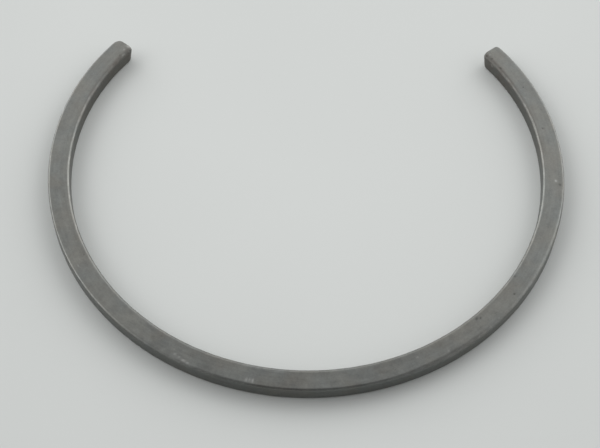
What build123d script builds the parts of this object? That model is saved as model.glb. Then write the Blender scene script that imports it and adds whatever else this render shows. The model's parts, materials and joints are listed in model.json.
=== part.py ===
from build123d import *
import os

# Locating ring: one length of flat steel bar with rounded edges, bent to an open ring and cut off square
# at both ends. It lies beside the outer ring of a bearing, in the bearing seat of a housing split at the
# shaft's height, and fills the seat so that the bearing can't move along the shaft.
#
# Millimetres, +Z up. The origin is on the ring's axis, in the side face that the ring lies on, so the
# ring spans Z = 0 to Z = thickness. The opening between the two ends is centred on +Y.

# ---- driving dimensions ----
outer_diameter = 120.0  # the outer wall, which fits the housing's seat
radial_width = 5.0  # from the inner wall to the outer wall
thickness = 4.0  # along the axis: the length of seat that the ring fills
gap_angle = 105.0  # opening between the ends, at the axis
end_corner_radius = 1.0  # the upright corners of the two cut ends
edge_radius = 0.75  # all edges of both side faces; less than end_corner_radius

# ---- worked out from them ----
outer_radius = outer_diameter / 2
inner_radius = outer_radius - radial_width
first_end_angle = 90.0 + gap_angle / 2
arc_angle = 360.0 - gap_angle

with BuildPart() as locating_ring:
    # The outline runs anticlockwise, seen from above, from the end on the -X side of the opening to the
    # end on its +X side. Each cut end is a straight line towards the axis.
    with BuildSketch() as outline:
        with BuildLine():
            outer_wall = CenterArc((0, 0), outer_radius, first_end_angle, arc_angle)
            inner_wall = CenterArc((0, 0), inner_radius, first_end_angle, arc_angle)
            Line(outer_wall @ 0, inner_wall @ 0)
            Line(outer_wall @ 1, inner_wall @ 1)
        make_face()
        fillet(outline.vertices(), radius=end_corner_radius)
    extrude(amount=thickness)

    side_faces = locating_ring.faces().filter_by(Axis.Z)
    fillet(side_faces.edges(), radius=edge_radius)

locating_ring.part.label = "locating_ring"

os.makedirs("parts", exist_ok=True)
export_step(locating_ring.part, "parts/locating_ring.step")
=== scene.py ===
import json
import math
import random

import bpy
import numpy as np
from mathutils import Matrix, Vector, noise


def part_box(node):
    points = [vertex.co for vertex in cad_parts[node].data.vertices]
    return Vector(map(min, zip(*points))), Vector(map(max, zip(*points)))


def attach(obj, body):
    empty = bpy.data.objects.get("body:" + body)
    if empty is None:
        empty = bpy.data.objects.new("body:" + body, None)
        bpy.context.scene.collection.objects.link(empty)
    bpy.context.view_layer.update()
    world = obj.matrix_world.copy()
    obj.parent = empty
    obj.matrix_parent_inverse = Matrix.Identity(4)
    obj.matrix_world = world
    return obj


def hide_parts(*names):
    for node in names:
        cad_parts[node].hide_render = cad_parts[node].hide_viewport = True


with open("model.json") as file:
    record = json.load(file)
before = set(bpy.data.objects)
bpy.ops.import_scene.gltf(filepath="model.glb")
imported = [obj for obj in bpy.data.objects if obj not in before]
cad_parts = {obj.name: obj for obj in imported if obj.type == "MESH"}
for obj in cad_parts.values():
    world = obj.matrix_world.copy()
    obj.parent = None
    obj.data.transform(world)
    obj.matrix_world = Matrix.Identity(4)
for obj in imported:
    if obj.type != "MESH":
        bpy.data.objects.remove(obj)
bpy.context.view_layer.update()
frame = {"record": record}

# A locating ring of dull grey steel bar, lying flat on a pale floor. Metres, +Z up, on the ring's axis.
# The ring is rebuilt here as one fine mesh, with the worn edges, nicks and cropped ends of a used part.

MM = 0.001

# ---- the ring's sizes, from the frame ----
NODE = "locating_ring"
low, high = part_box(NODE)
mounts = {mount["name"]: mount for mount in frame["record"]["mounts"]}
OUTER_RADIUS = (high.x - low.x) / 2
MIDDLE_RADIUS = -mounts["bearing_side"]["pos_m"][1]
THICKNESS = high.z - low.z
HALF_WIDTH = OUTER_RADIUS - MIDDLE_RADIUS
HALF_THICKNESS = THICKNESS / 2

# ---- the ring's shape ----
OPENING = math.radians(104.7)
FIRST_END = math.pi / 2 + OPENING / 2
ARC = 2 * math.pi - OPENING
EDGE_RADIUS = 0.75 * MM
# The upper outer edge is sharper than the others, but for one stretch at the front right, where it is
# rounder. It changes from one to the other over these angles, and back over the next two.
SHARP_EDGE_RADIUS = 0.5 * MM
ROUND_EDGE_RADIUS = 0.95 * MM
ROUNDER_OVER = (math.radians(284), math.radians(304))
SHARPER_OVER = (math.radians(332), math.radians(354))
# Rounding along the upper and lower edge of each cut end. The shears drew the lower one down more.
END_EDGE_TOP = 0.35 * MM
END_EDGE_FOOT = 1.1 * MM
# Upright corners of the two ends, which came out of the shears and the barrel a little different: the
# outer one, and the inner one at its top and at its foot.
FIRST_END_CORNERS = (1.7 * MM, 0.9 * MM, 2.0 * MM)
LAST_END_CORNERS = (1.0 * MM, 1.3 * MM, 2.2 * MM)
# The bar is bent a little tighter over the last stretch to each end, which brings the end inwards.
FIRST_END_INWARDS = 0.25 * MM
LAST_END_INWARDS = 0.45 * MM
TIGHT_REACH = 25 * MM

# ---- how finely it is meshed ----
STATION_STEP = 0.25 * MM  # along the bar
CORNER_STEPS = 9
WALL_STEPS = 7  # up each wall
TOP_STEPS = 15  # across the upper side face
UNDERSIDE_STEPS = 5
END_REACH = 2.2 * MM  # closer stations within this of each end
END_STATIONS = 16
END_RINGS = 12  # rings of faces that fill each cut end

# ---- how far it is from even ----
EDGE_SWELL = 0.1  # the rounded edges grow and shrink along the bar by up to this share
SWELL_SCALE = 40
SWELL_HEIGHT = 3.7  # where the noise is cut for it
WALL_WANDER = 0.008 * MM
WANDER_SCALE = 180


# ------------------------------------------------------------------ the bar

def smooth_step(start, end, value):
    share = np.clip((value - start) / (end - start), 0, 1)
    return share * share * (3 - 2 * share)


def corner_cut(radius, distance):
    """How far a rounded corner stands back at this distance from the end."""
    if distance >= radius:
        return 0.0
    return radius - math.sqrt(radius**2 - (radius - distance) ** 2)


def section(corner_radii, distance, edge_radii):
    """Points of the bar's section as (across, up, how far round an edge), anticlockwise from the foot
    of the outer wall. It is a rectangle with rounded corners, cut back on each side near the end."""
    outer, inner_top, inner_foot = corner_radii
    right = HALF_WIDTH - corner_cut(outer, distance)
    left_top = -HALF_WIDTH + corner_cut(inner_top, distance)
    left_foot = -HALF_WIDTH + corner_cut(inner_foot, distance)
    top = HALF_THICKNESS - corner_cut(END_EDGE_TOP, distance)
    foot = -HALF_THICKNESS + corner_cut(END_EDGE_FOOT, distance)
    corners = (
        (right, foot, -1, 1),
        (right, top, -1, -1),
        (left_top, top, 1, -1),
        (left_foot, foot, 1, 1),
    )
    runs = (WALL_STEPS, TOP_STEPS, WALL_STEPS, UNDERSIDE_STEPS)

    def on_corner(number, turn):
        number %= 4
        across, up, inwards, upwards = corners[number]
        radius = edge_radii[number]
        angle = math.radians(90 * (number - 1 + turn))
        return (
            across + radius * (inwards + math.cos(angle)),
            up + radius * (upwards + math.sin(angle)),
        )

    points = []
    for number, run in enumerate(runs):
        for step in range(CORNER_STEPS + 1):
            turn = step / CORNER_STEPS
            points.append((*on_corner(number, turn), math.sin(math.pi * turn)))
        here, there = on_corner(number, 1), on_corner(number + 1, 0)
        for step in range(1, run):
            share = step / run
            points.append((*(a + (b - a) * share for a, b in zip(here, there)), 0.0))
    return points


def stations():
    """(angle, distance from the nearer end, that end's corners, how far inwards the bar lies) for each
    section along the bar."""
    length = ARC * MIDDLE_RADIUS
    near = [END_REACH * (step / END_STATIONS) ** 2 for step in range(END_STATIONS)]
    middle_count = round((length - 2 * END_REACH) / STATION_STEP)
    middle = [
        END_REACH + (length - 2 * END_REACH) * step / middle_count for step in range(middle_count + 1)
    ]
    places = near + middle + [length - distance for distance in reversed(near)]
    for place in places:
        first = place < length / 2
        distance = place if first else length - place
        corners = FIRST_END_CORNERS if first else LAST_END_CORNERS
        inwards = FIRST_END_INWARDS if first else LAST_END_INWARDS
        inwards *= max(0.0, 1 - distance / TIGHT_REACH) ** 2
        yield FIRST_END + place / MIDDLE_RADIUS, distance, corners, inwards


def place_of(angle, across, up):
    radius = MIDDLE_RADIUS + across
    return (radius * math.cos(angle), radius * math.sin(angle), HALF_THICKNESS + up)


def bar_mesh():
    """The whole bar as vertices, faces, and for each vertex how far it stands out to be rubbed."""
    vertices, worn, loops = [], [], []
    for angle, distance, corner_radii, inwards in stations():
        round_about = (SWELL_SCALE * math.cos(angle), SWELL_SCALE * math.sin(angle), SWELL_HEIGHT)
        swell = 1 + EDGE_SWELL * noise.noise(Vector(round_about))
        turn = angle % (2 * math.pi)
        roundness = smooth_step(*ROUNDER_OVER, turn) - smooth_step(*SHARPER_OVER, turn)
        upper_outer = SHARP_EDGE_RADIUS + (ROUND_EDGE_RADIUS - SHARP_EDGE_RADIUS) * roundness
        radii = (EDGE_RADIUS, upper_outer, EDGE_RADIUS, EDGE_RADIUS)
        edge_radii = [swell * radius for radius in radii]
        points = section(corner_radii, distance, edge_radii)
        near_end = max(0.0, 1 - distance / END_EDGE_TOP)
        loops.append([len(vertices) + number for number in range(len(points))])
        for across, up, round_edge in points:
            vertices.append(place_of(angle, across - inwards, up))
            worn.append(max(round_edge, near_end))
    around = len(loops[0])
    faces = []
    for here, there in zip(loops, loops[1:]):
        for number in range(around):
            after = (number + 1) % around
            faces.append((here[number], there[number], there[after], here[after]))
    fill_end(vertices, worn, faces, loops[0])
    fill_end(vertices, worn, faces, loops[-1][::-1])
    return vertices, worn, faces


def fill_end(vertices, worn, faces, loop):
    """Fills a cut end with rings of faces that shrink to its middle. The loop runs anticlockwise as
    seen from outside."""
    middle = sum((Vector(vertices[index]) for index in loop), Vector()) / len(loop)
    around = len(loop)
    ring = loop
    for step in range(1, END_RINGS):
        share = 1 - step / END_RINGS
        inner = []
        for index in loop:
            inner.append(len(vertices))
            vertices.append(tuple(middle + (Vector(vertices[index]) - middle) * share))
            worn.append(0.0)
        for number in range(around):
            after = (number + 1) % around
            faces.append((ring[number], ring[after], inner[after], inner[number]))
        ring = inner
    centre = len(vertices)
    vertices.append(tuple(middle))
    worn.append(0.0)
    for number in range(around):
        faces.append((ring[number], ring[(number + 1) % around], centre))


# ------------------------------------------------------------------ wear

# The marks that show on the upper face: (angle in degrees, radius in mm, length along the bar and across
# it in mm, depth in mm, how bright its bottom is). Dark ones are pits, which have no brightness.
SHOWN_MARKS = (
    (242.3, 58.6, 0.30, 0.20, 0.02, 0.35),
    (243.4, 58.8, 0.30, 0.20, 0.02, 0.25),
    (244.6, 59.1, 0.45, 0.20, 0.02, 0.45),
    (245.6, 59.3, 0.30, 0.20, 0.02, 0.35),
    (258.3, 58.9, 0.18, 0.45, 0.02, 0.5),
    (259.0, 58.7, 0.18, 0.35, 0.02, 0.4),
    (259.6, 58.8, 0.18, 0.50, 0.02, 0.5),
    (264.5, 55.9, 1.60, 0.12, 0.01, 0.25),
    (355.0, 58.0, 0.30, 0.22, 0.02, 0.6),
    (354.0, 58.9, 0.30, 0.22, 0.03, 0.0),
    (10.4, 57.0, 0.28, 0.22, 0.03, 0.0),
    (311.4, 56.2, 0.32, 0.22, 0.03, 0.0),
    (312.2, 56.6, 0.22, 0.20, 0.03, 0.0),
    (326.0, 55.8, 0.22, 0.20, 0.02, 0.0),
    (322.0, 58.1, 0.28, 0.20, 0.02, 0.0),
    (301.6, 58.7, 0.28, 0.20, 0.02, 0.25),
    (295.0, 57.0, 0.28, 0.20, 0.02, 0.25),
    (315.2, 59.3, 0.22, 0.20, 0.02, 0.2),
    (142.7, 55.8, 0.40, 0.70, 0.01, 0.5),
    (38.0, 55.6, 0.25, 0.22, 0.02, 0.4),
    (35.0, 55.5, 0.22, 0.20, 0.03, 0.0),
    (31.3, 55.5, 0.30, 0.20, 0.03, 0.0),
)
UPPER_FACE = 4.0  # mm, the height of the shown marks and of the highest nicks
STAIN_REACH = 42 * MM
SMALL_NICKS = 60
END_NICKS = 15  # by each end
NICK_SEED = 11
# Where the small nicks may be, in mm: radii and heights of the long edges, and of the two side faces.
EDGE_NICK_RADII = (55.2, 59.8)
EDGE_NICK_HEIGHTS = (0.2, 3.8)
FACE_NICK_RADII = (55.8, 59.2)
FACE_NICK_HEIGHTS = (0.0, UPPER_FACE)


def small_nicks():
    """Faint nicks all round the bar, most of them on its four long edges, and light and dark ones
    close together where each end was cut."""
    dice = random.Random(NICK_SEED)
    for _ in range(SMALL_NICKS):
        angle = FIRST_END + ARC * dice.random()
        on_an_edge = dice.random() < 0.7
        radius = dice.choice(EDGE_NICK_RADII) if on_an_edge else dice.uniform(*FACE_NICK_RADII)
        height = dice.choice(EDGE_NICK_HEIGHTS if on_an_edge else FACE_NICK_HEIGHTS)
        along, across = dice.uniform(0.12, 0.35), dice.uniform(0.10, 0.2)
        deep, bright = dice.uniform(0.005, 0.02), dice.uniform(0.05, 0.25)
        yield angle, radius, height, along, across, deep, bright
    for end, onwards in ((FIRST_END, 1), (FIRST_END + ARC, -1)):
        for _ in range(END_NICKS):
            angle = end + onwards * dice.uniform(0.2, 4.5) * MM / MIDDLE_RADIUS
            radius = dice.uniform(54.6, 56.2)
            height = min(UPPER_FACE, 3.9 + dice.uniform(-1.2, 0.4))
            along, across = dice.uniform(0.15, 0.35), dice.uniform(0.12, 0.25)
            deep, bright = dice.uniform(0.01, 0.03), dice.choice((0.0, 0.5))
            yield angle, radius, height, along, across, deep, bright


ATTRIBUTES = ("worn", "scraped", "pitted", "stained")


def wear_down(mesh, worn):
    """Presses the marks into the mesh, and gives it the attributes that the steel reads: worn where it
    is rubbed, scraped where a mark is bright, pitted where it is dark, stained inside the two ends."""
    count = len(mesh.vertices)
    places = np.empty(count * 3)
    mesh.vertices.foreach_get("co", places)
    places = places.reshape(-1, 3)
    normals = np.empty(count * 3)
    mesh.vertex_normals.foreach_get("vector", normals)
    normals = normals.reshape(-1, 3)
    scraped, pitted, depth = np.zeros(count), np.zeros(count), np.zeros(count)

    marks = [(math.radians(degrees), radius, UPPER_FACE, *rest) for degrees, radius, *rest in SHOWN_MARKS]
    for angle, radius, height, along, across, deep, bright in (*marks, *small_nicks()):
        outwards = np.array((math.cos(angle), math.sin(angle), 0.0))
        forwards = np.array((-math.sin(angle), math.cos(angle), 0.0))
        centre = (outwards * radius + (0.0, 0.0, height)) * MM
        offset = places - centre
        run = offset @ forwards
        side_squared = (offset**2).sum(1) - run**2
        falloff = np.exp(-((run / (along * MM)) ** 2) - side_squared / (across * MM) ** 2)
        depth += deep * MM * falloff
        if bright > 0:
            scraped = np.maximum(scraped, bright * falloff)
        else:
            pitted = np.maximum(pitted, falloff)

    radius = np.hypot(places[:, 0], places[:, 1])
    turned = (np.arctan2(places[:, 1], places[:, 0]) - FIRST_END) % (2 * math.pi)
    from_end = np.minimum(turned, np.abs(ARC - turned)) * MIDDLE_RADIUS
    inwards = (MIDDLE_RADIUS - radius) / HALF_WIDTH
    stained = smooth_step(STAIN_REACH, 0.0, from_end) * smooth_step(0.45, 0.9, inwards)

    places -= normals * depth[:, None]
    # A drawn and bent bar isn't dead flat: its walls wander by a hundredth of a millimetre or so.
    for index in range(count):
        x, y, z = places[index]
        wander = noise.noise(Vector((x, y, z)) * WANDER_SCALE) * WALL_WANDER
        places[index] += normals[index] * wander
    mesh.vertices.foreach_set("co", places.ravel())
    for name, values in zip(ATTRIBUTES, (worn, scraped, pitted, stained)):
        mesh.attributes.new(name, "FLOAT", "POINT").data.foreach_set("value", values)
    mesh.update()


# ------------------------------------------------------------------ materials

class Nodes:
    """Adds nodes to a material or world tree in a few words."""

    def __init__(self, owner):
        owner.use_nodes = True
        self.tree = owner.node_tree
        self.tree.nodes.clear()

    def add(self, kind, settings=None, **inputs):
        node = self.tree.nodes.new(kind)
        for name, value in (settings or {}).items():
            setattr(node, name, value)
        for name, value in inputs.items():
            self.put(node, name.replace("_", " "), value)
        return node

    def put(self, node, name, value):
        socket = node.inputs[int(name)] if name.isdigit() else node.inputs[name]
        if isinstance(value, bpy.types.NodeSocket):
            self.tree.links.new(value, socket)
        else:
            socket.default_value = value

    def math(self, operation, first, second=0.0, clamp=False):
        node = self.add("ShaderNodeMath", {"operation": operation, "use_clamp": clamp})
        self.put(node, "0", first)
        self.put(node, "1", second)
        return node.outputs[0]

    def vector_math(self, operation, first, second, output="Vector"):
        node = self.add("ShaderNodeVectorMath", {"operation": operation})
        self.put(node, "0", first)
        self.put(node, "1", second)
        return node.outputs[output]

    def scaled(self, vector, factor):
        node = self.add("ShaderNodeVectorMath", {"operation": "SCALE"}, Scale=factor)
        self.put(node, "0", vector)
        return node.outputs[0]

    def noise(self, vector, scale, detail=3.0, roughness=0.55):
        node = self.add(
            "ShaderNodeTexNoise", Vector=vector, Scale=scale, Detail=detail, Roughness=roughness
        )
        return node.outputs[0]

    def spread(self, value, low_in, high_in, low_out=0.0, high_out=1.0):
        """The value's range low_in to high_in, stretched over low_out to high_out."""
        node = self.add("ShaderNodeMapRange", Value=value)
        for name, number in zip(("1", "2", "3", "4"), (low_in, high_in, low_out, high_out)):
            self.put(node, name, number)
        return node.outputs[0]

    def mix(self, share, first, second):
        node = self.add("ShaderNodeMix", {"data_type": "RGBA"})
        self.put(node, "0", share)
        self.put(node, "6", first)
        self.put(node, "7", second)
        return node.outputs[2]


def grey(value, green, blue):
    """A near grey: how bright its red is, and how much more or less green and blue it has."""
    return (value, value * (1 + green), value * (1 + blue), 1.0)


STEEL = grey(0.172, 0.02, -0.055)
STEEL_WARM = grey(0.174, -0.015, -0.095)
STEEL_COOL = grey(0.166, 0.05, 0.02)
STEEL_WORN = grey(0.30, 0.0, -0.03)
STEEL_SCRAPED = grey(0.50, 0.0, -0.03)
STEEL_PIT = grey(0.05, -0.02, -0.08)
STEEL_STAINED = grey(0.165, -0.06, -0.14)


def along_the_bar(nodes, place):
    """(distance round the bar, radius, height) of a point, for marks that run along the bar."""
    parts = nodes.add("ShaderNodeSeparateXYZ", Vector=place)
    x, y, z = parts.outputs
    angle = nodes.math("ARCTAN2", y, x)
    flat = nodes.add("ShaderNodeCombineXYZ", X=x, Y=y)
    radius = nodes.vector_math("LENGTH", flat.outputs[0], (0, 0, 0), "Value")
    run = nodes.math("MULTIPLY", angle, MIDDLE_RADIUS)
    bar = nodes.add("ShaderNodeCombineXYZ", X=run, Y=radius, Z=z)
    return bar.outputs[0]


def make_steel():
    """Dull grey steel: clouded oxide, fine grain, drawing lines along the bar, brighter worn edges."""
    material = bpy.data.materials.new("dull_steel")
    nodes = Nodes(material)
    place = nodes.add("ShaderNodeTexCoord").outputs["Object"]
    worn, scraped, pitted, stained = (
        nodes.add("ShaderNodeAttribute", {"attribute_name": name}).outputs["Fac"]
        for name in ATTRIBUTES
    )
    bar = along_the_bar(nodes, place)

    tint = nodes.noise(nodes.vector_math("ADD", place, (0.7, 0.2, 0.1)), 170, 2)
    clouds = nodes.noise(place, 190, 2)
    mottle = nodes.noise(nodes.vector_math("ADD", place, (0.1, 0.5, 0.3)), 600, 3, 0.65)
    grain = nodes.noise(place, 2600, 3, 0.6)
    drawn = nodes.noise(nodes.vector_math("MULTIPLY", bar, (90, 1800, 1800)), 1, 3)

    colour = nodes.mix(nodes.spread(tint, 0.36, 0.64), STEEL_WARM, STEEL_COOL)
    colour = nodes.mix(nodes.spread(clouds, 0.3, 0.7, 0.1, 0.6), colour, STEEL)
    shade = nodes.spread(clouds, 0.3, 0.7, 0.96, 1.04)
    shade = nodes.math("ADD", shade, nodes.spread(mottle, 0.3, 0.7, -0.08, 0.08))
    shade = nodes.math("ADD", shade, nodes.spread(grain, 0.3, 0.7, -0.08, 0.08))
    shade = nodes.math("ADD", shade, nodes.spread(drawn, 0.3, 0.7, -0.06, 0.06))
    colour = nodes.scaled(colour, shade)

    stain = nodes.math("MULTIPLY", stained, nodes.spread(mottle, 0.35, 0.6), clamp=True)
    colour = nodes.mix(stain, colour, STEEL_STAINED)
    rub_marks = nodes.noise(nodes.vector_math("MULTIPLY", bar, (500, 1500, 1500)), 1, 3, 0.65)
    rubbed = nodes.math("MULTIPLY", worn, nodes.spread(rub_marks, 0.45, 0.72), clamp=True)
    colour = nodes.mix(nodes.math("MULTIPLY", rubbed, 0.35), colour, STEEL_WORN)
    colour = nodes.mix(scraped, colour, STEEL_SCRAPED)
    fine_pits = nodes.spread(nodes.noise(place, 900, 2), 0.74, 0.82, 0, 0.7)
    pits = nodes.math("MAXIMUM", nodes.math("MULTIPLY", pitted, 0.8), fine_pits)
    colour = nodes.mix(pits, colour, STEEL_PIT)

    rough = nodes.spread(clouds, 0.3, 0.7, 0.37, 0.43)
    rough = nodes.math("ADD", rough, nodes.spread(mottle, 0.3, 0.7, -0.03, 0.03))
    rough = nodes.math("ADD", rough, nodes.math("MULTIPLY", stained, 0.25))
    rough = nodes.math("SUBTRACT", rough, nodes.math("MULTIPLY", rubbed, 0.05))
    relief = nodes.math("ADD", nodes.math("MULTIPLY", grain, 0.6), nodes.math("MULTIPLY", drawn, 0.5))
    relief = nodes.math("SUBTRACT", relief, nodes.math("MULTIPLY", pits, 1.5))
    bump = nodes.add("ShaderNodeBump", Strength=0.25, Distance=0.015 * MM, Height=relief)
    shader = nodes.add(
        "ShaderNodeBsdfPrincipled",
        Base_Color=colour,
        Metallic=1.0,
        Roughness=rough,
        Normal=bump.outputs[0],
    )
    nodes.add("ShaderNodeOutputMaterial", Surface=shader.outputs[0])
    return material


FLOOR = (0.66, 0.68, 0.667)
# The floor's colour is even out to the first distance from its middle, and fades to this share of itself
# by the second. This fade is painted shade, standing in for light that falls off away from the middle.
FLOOR_MIDDLE = (0.0, 0.06, 0.0)
FLOOR_EVEN = 60 * MM
FLOOR_FADED = 170 * MM
FLOOR_PAINTED_SHADE = 0.9


def make_floor_material():
    material = bpy.data.materials.new("pale_floor")
    nodes = Nodes(material)
    place = nodes.add("ShaderNodeTexCoord").outputs["Object"]
    away = nodes.vector_math("DISTANCE", place, FLOOR_MIDDLE, "Value")
    # painted shade: the floor's colour darkens away from its middle, where the light falls off
    shade = nodes.spread(away, FLOOR_EVEN, FLOOR_FADED, 1.0, FLOOR_PAINTED_SHADE)
    unevenness = nodes.spread(nodes.noise(place, 14, 2), 0.3, 0.7, -0.008, 0.008)
    colour = nodes.scaled(FLOOR, nodes.math("ADD", shade, unevenness))
    shader = nodes.add(
        "ShaderNodeBsdfPrincipled", Base_Color=colour, Roughness=0.9, Specular_IOR_Level=0.1
    )
    nodes.add("ShaderNodeOutputMaterial", Surface=shader.outputs[0])
    return material


# ------------------------------------------------------------------ the ring

def make_ring():
    vertices, worn, faces = bar_mesh()
    mesh = bpy.data.meshes.new("ring_steel")
    mesh.from_pydata(vertices, [], faces)
    mesh.update()
    wear_down(mesh, worn)
    mesh.polygons.foreach_set("use_smooth", [True] * len(mesh.polygons))
    mesh.materials.append(make_steel())
    ring = bpy.data.objects.new("ring_steel", mesh)
    bpy.context.scene.collection.objects.link(ring)
    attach(ring, "root")
    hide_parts(NODE)


# ------------------------------------------------------------------ floor, light and camera

FLOOR_REACH = 4.0


def make_floor():
    mesh = bpy.data.meshes.new("floor")
    signs = ((-1, -1), (1, -1), (1, 1), (-1, 1))
    corners = [(FLOOR_REACH * x, FLOOR_REACH * y, low.z) for x, y in signs]
    mesh.from_pydata(corners, [], [(0, 1, 2, 3)])
    mesh.materials.append(make_floor_material())
    floor = bpy.data.objects.new("floor", mesh)
    bpy.context.scene.collection.objects.link(floor)


ROOM_LIGHT = 0.07  # from every side
NARROWNESS = 12  # of each soft light: a higher number is narrower
# Soft light from low on both sides and behind, as from two large diffusers behind the ring: (name,
# azimuth and elevation of its middle in degrees, strength). Azimuth 0 is straight behind the ring as the
# camera sees it, and 90 is to the right.
SOFT_LIGHTS = (
    ("above", 0, 90, 0.12),
    ("front", 180, 35, 0.2),
    ("left", -90, 35, 2.15),
    ("behind_left", -45, 35, 1.5),
    ("behind", 0, 35, 1.1),
    ("behind_right", 45, 35, 2.1),
    ("right", 90, 35, 0.8),
    ("front_right", 135, 35, 0.3),
    ("front_left", -135, 35, 0.2),
    ("low_left", -90, 8, 0.3),
    ("low_behind_left", -45, 8, 2.7),
    ("low_behind", 0, 8, 0.4),
    ("low_behind_right", 45, 8, 2.2),
    ("low_right", 90, 8, 0.8),
    ("low_front_right", 135, 8, 0.3),
    ("low_front_left", -135, 8, 0.3),
)


def direction(azimuth, elevation):
    turn, rise = math.radians(azimuth), math.radians(elevation)
    return (math.sin(turn) * math.cos(rise), math.cos(turn) * math.cos(rise), math.sin(rise))


def make_light():
    world = bpy.data.worlds.new("soft_room")
    bpy.context.scene.world = world
    nodes = Nodes(world)
    towards = nodes.add("ShaderNodeTexCoord").outputs["Generated"]
    total = ROOM_LIGHT
    for name, azimuth, elevation, strength in SOFT_LIGHTS:
        facing = nodes.vector_math("DOT_PRODUCT", towards, direction(azimuth, elevation), "Value")
        lobe = nodes.math("POWER", nodes.math("MAXIMUM", facing, 0.0), NARROWNESS)
        light = nodes.math("MULTIPLY", lobe, strength)
        light.node.label = name
        total = nodes.math("ADD", total, light)
    background = nodes.add("ShaderNodeBackground", Color=(1, 1, 1, 1), Strength=total)
    nodes.add("ShaderNodeOutputWorld", Surface=background.outputs[0])


SENSOR_WIDTH = 36.0
LENS = 78.8
CAMERA_ELEVATION = math.radians(56.13)
CAMERA_DISTANCE = 310.0 * MM
CAMERA_ROLL = math.radians(0.97)
# How far the ring's axis lies from the middle of the picture, to the right and up.
RING_RIGHT = 1.47 * MM
RING_UP = 12.93 * MM


def make_camera():
    back = Vector((0, -math.cos(CAMERA_ELEVATION), math.sin(CAMERA_ELEVATION)))
    level = Vector((1, 0, 0))
    right = level * math.cos(CAMERA_ROLL) + back.cross(level) * math.sin(CAMERA_ROLL)
    up = back.cross(right)
    data = bpy.data.cameras.new("camera")
    data.lens = LENS
    data.sensor_width = SENSOR_WIDTH
    data.clip_start = 0.01
    camera = bpy.data.objects.new("camera", data)
    turned = Matrix((right, up, back)).transposed().to_4x4()
    place = back * CAMERA_DISTANCE - right * RING_RIGHT - up * RING_UP
    camera.matrix_world = Matrix.Translation(place) @ turned
    bpy.context.scene.collection.objects.link(camera)
    bpy.context.scene.camera = camera


make_ring()
make_floor()
make_light()
make_camera()
bpy.context.scene.view_settings.view_transform = "Standard"
